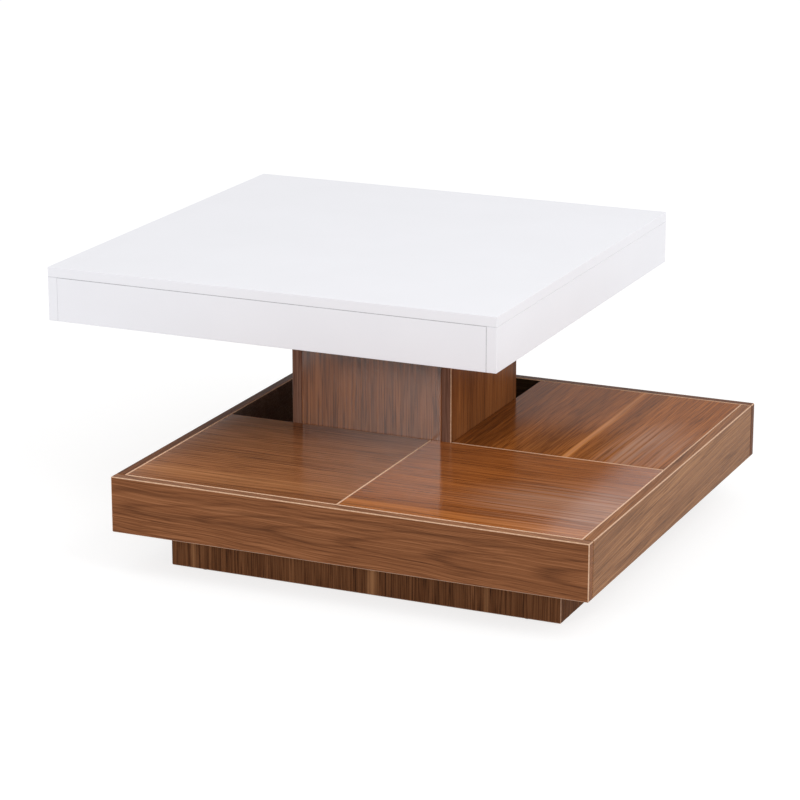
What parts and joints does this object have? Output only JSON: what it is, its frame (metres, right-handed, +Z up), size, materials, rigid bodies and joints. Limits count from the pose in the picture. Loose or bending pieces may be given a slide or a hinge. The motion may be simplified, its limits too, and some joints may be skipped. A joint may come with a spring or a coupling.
{
  "type": "swivel coffee table",
  "caption": "Low square coffee table: a thick white top that swivels on a square walnut column standing in a walnut tray with flush decks and an open well, on a recessed plinth.",
  "frame": {"origin": "on the swivel axis at floor level, which is the centre of the box at rest", "axes": "+Z up, -Y towards the front of the table, +X to the right seen from the front"},
  "size_m": [0.92, 0.92, 0.3645],
  "materials": {
    "walnut_laminate": "walnut-grain laminate, semi-gloss, light trimmed edges",
    "white_lacquer": "white satin lacquer on board",
    "raw_board": "sawn particle board and softwood",
    "beech_dowel": "turned beech",
    "zinc_hardware": "bright zinc plate",
    "bearing_steel": "pressed zinc-plated sheet steel",
    "ball_steel": "polished steel balls",
    "cage_nylon": "natural nylon",
    "glide_plastic": "moulded polyethylene"
  },
  "bodies": {
    "base": {"bearing_lower_plate": "bearing_steel", "bearing_lower_screws": "zinc_hardware", "column_back": "walnut_laminate", "column_cap": "raw_board", "column_dowels": "beech_dowel", "column_front": "walnut_laminate", "column_left": "walnut_laminate", "column_right": "walnut_laminate", "column_screws": "zinc_hardware", "cross_divider": "walnut_laminate", "deck_front_left": "walnut_laminate", "deck_front_right": "walnut_laminate", "deck_right_back": "walnut_laminate", "foot_glides": "glide_plastic", "front_divider": "raw_board", "ledger_back": "raw_board", "ledger_front_left": "raw_board", "ledger_front_right": "raw_board", "ledger_left": "raw_board", "ledger_middle": "raw_board", "ledger_right_back": "raw_board", "ledger_right_front": "raw_board", "plinth_back": "walnut_laminate", "plinth_block_back_left": "raw_board", "plinth_block_back_right": "raw_board", "plinth_block_front_left": "raw_board", "plinth_block_front_right": "raw_board", "plinth_block_screws": "zinc_hardware", "plinth_front": "walnut_laminate", "plinth_left": "walnut_laminate", "plinth_rail_left": "raw_board", "plinth_rail_right": "raw_board", "plinth_right": "walnut_laminate", "side_divider": "walnut_laminate", "tray_back": "walnut_laminate", "tray_cam_bolts": "zinc_hardware", "tray_cams": "zinc_hardware", "tray_dowels": "beech_dowel", "tray_floor": "walnut_laminate", "tray_front": "walnut_laminate", "tray_left": "walnut_laminate", "tray_right": "walnut_laminate"},
    "ball_ring": {"bearing_cage": "cage_nylon", "bearing_balls": "ball_steel"},
    "tabletop": {"top_panel": "white_lacquer", "apron_front": "white_lacquer", "apron_back": "white_lacquer", "apron_left": "white_lacquer", "apron_right": "white_lacquer", "top_underside_panel": "raw_board", "top_rib_left": "raw_board", "top_rib_right": "raw_board", "top_dowels": "beech_dowel", "bearing_upper_plate": "bearing_steel", "bearing_retainer": "bearing_steel", "bearing_upper_screws": "zinc_hardware"}
  },
  "joints": [
    {"name": "top_swivel", "type": "hinge", "parent": "base", "child": "tabletop", "pos_m": [0, 0, 0.27975], "axis": [0, 0, 1], "continuous": true},
    {"name": "ball_orbit", "type": "hinge", "parent": "base", "child": "ball_ring", "pos_m": [0, 0, 0.27975], "axis": [0, 0, 1], "continuous": true}
  ],
  "couplings": [
    {"joint": "ball_orbit", "follows": "top_swivel", "ratio": 0.5}
  ]
}
